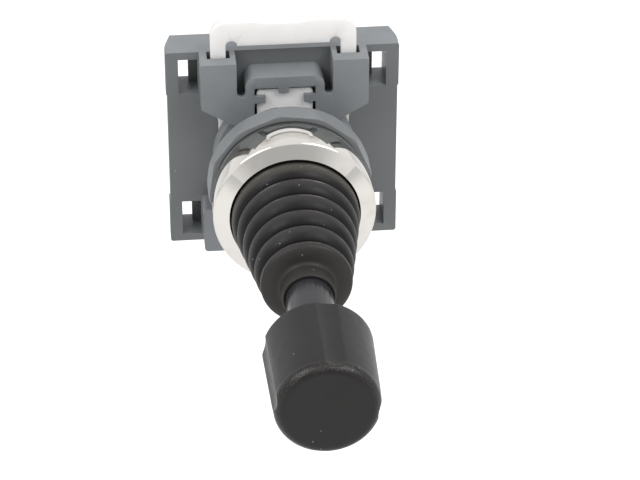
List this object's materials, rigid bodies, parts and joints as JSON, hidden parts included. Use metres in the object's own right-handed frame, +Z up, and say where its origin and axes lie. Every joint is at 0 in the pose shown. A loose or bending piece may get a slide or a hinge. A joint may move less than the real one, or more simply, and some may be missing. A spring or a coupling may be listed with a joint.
{
  "type": "panel joystick",
  "caption": "Panel joystick with a rubber boot and a knob, a gimbal that pushes plungers, a fixing ring, and a contact-block adapter locked by a bail.",
  "frame": {"origin": "on the stick's axis, in the plane of the panel's front face, which is the gasket's rear face", "axes": "+Z up, -Y along the stick towards the operator, +X to the operator's right"},
  "size_m": [0.044, 0.0942, 0.0483],
  "materials": {
    "bezel_chrome": "polished chrome plate",
    "gasket_rubber": "matte black rubber",
    "barrel_black": "black moulded plastic",
    "steel": "turned steel",
    "boot_rubber": "black moulded rubber, soft sheen",
    "pin_steel": "ground steel pin",
    "natural_nylon": "natural nylon",
    "hub_black": "black acetal",
    "sleeve_black": "glossy black plastic",
    "knob_black": "matte black plastic, fine grain on the end",
    "brass": "turned brass",
    "spring_steel": "drawn spring wire",
    "screw_steel": "zinc-plated steel",
    "plunger_white": "natural acetal",
    "washer_grey": "dark grey plastic",
    "ring_grey": "grey moulded plastic",
    "adapter_grey": "grey moulded plastic, fine satin",
    "insert_pale": "pale grey plastic",
    "bail_white": "natural translucent plastic"
  },
  "bodies": {
    "housing": {"bezel": "bezel_chrome", "gasket": "gasket_rubber", "barrel": "barrel_black", "stop_plate": "steel", "boot_clamp_ring": "steel", "boot": "boot_rubber", "gimbal_pins": "pin_steel", "guide_plate": "natural_nylon", "rear_cap": "barrel_black", "cap_screws": "screw_steel", "adapter": "adapter_grey", "locating_insert": "insert_pale", "return_spring": "spring_steel", "spring_up": "spring_steel", "spring_down": "spring_steel", "spring_left": "spring_steel", "spring_right": "spring_steel"},
    "gimbal": {"gimbal_ring": "natural_nylon", "hub_pins": "pin_steel"},
    "stick": {"pivot_hub": "hub_black", "stick_rod": "steel", "stick_sleeve": "sleeve_black", "knob": "knob_black", "knob_insert": "brass", "swash_plate": "steel", "push_nut": "spring_steel"},
    "plunger_up": {"plunger_up": "plunger_white"},
    "plunger_down": {"plunger_down": "plunger_white"},
    "plunger_left": {"plunger_left": "plunger_white"},
    "plunger_right": {"plunger_right": "plunger_white"},
    "washer": {"pressure_washer": "washer_grey"},
    "ring": {"fixing_ring": "ring_grey"},
    "bail": {"bail": "bail_white"}
  },
  "joints": [
    {"name": "tilt_up_down", "type": "hinge", "parent": "housing", "child": "gimbal", "pos_m": [0, 0.002, 0], "axis": [1, 0, 0], "range_deg": [-15, 15], "stiffness_Nm_per_rad": 1.2, "deforming": ["boot", "return_spring"]},
    {"name": "tilt_left_right", "type": "hinge", "parent": "gimbal", "child": "stick", "pos_m": [0, 0.002, 0], "axis": [0, 0, 1], "range_deg": [-15, 15], "stiffness_Nm_per_rad": 1.2, "deforming": ["boot", "return_spring"]},
    {"name": "plunger_up_slide", "type": "slide", "parent": "housing", "child": "plunger_up", "axis": [0, 1, 0], "range_m": [-0.00165, 0.00165], "deforming": ["spring_up"]},
    {"name": "plunger_down_slide", "type": "slide", "parent": "housing", "child": "plunger_down", "axis": [0, 1, 0], "range_m": [-0.00165, 0.00165], "deforming": ["spring_down"]},
    {"name": "plunger_left_slide", "type": "slide", "parent": "housing", "child": "plunger_left", "axis": [0, 1, 0], "range_m": [-0.00165, 0.00165], "deforming": ["spring_left"]},
    {"name": "plunger_right_slide", "type": "slide", "parent": "housing", "child": "plunger_right", "axis": [0, 1, 0], "range_m": [-0.00165, 0.00165], "deforming": ["spring_right"]},
    {"name": "ring_thread", "type": "slide", "parent": "housing", "child": "washer", "axis": [0, 1, 0], "range_m": [0, 0.005]},
    {"name": "ring_turn", "type": "hinge", "parent": "washer", "child": "ring", "pos_m": [0, 0.0028, 0], "axis": [0, 1, 0], "range_deg": [0, 1200.01]},
    {"name": "bail_lift", "type": "slide", "parent": "housing", "child": "bail", "axis": [0, 0, 1], "range_m": [0, 0.007]}
  ],
  "couplings": [
    {"joint": "plunger_up_slide", "follows": "tilt_up_down", "m_per_rad": -0.00627},
    {"joint": "plunger_down_slide", "follows": "tilt_up_down", "m_per_rad": 0.00627},
    {"joint": "plunger_left_slide", "follows": "tilt_left_right", "m_per_rad": -0.00627},
    {"joint": "plunger_right_slide", "follows": "tilt_left_right", "m_per_rad": 0.00627},
    {"joint": "ring_turn", "follows": "ring_thread", "rad_per_m": 4188.8}
  ]
}
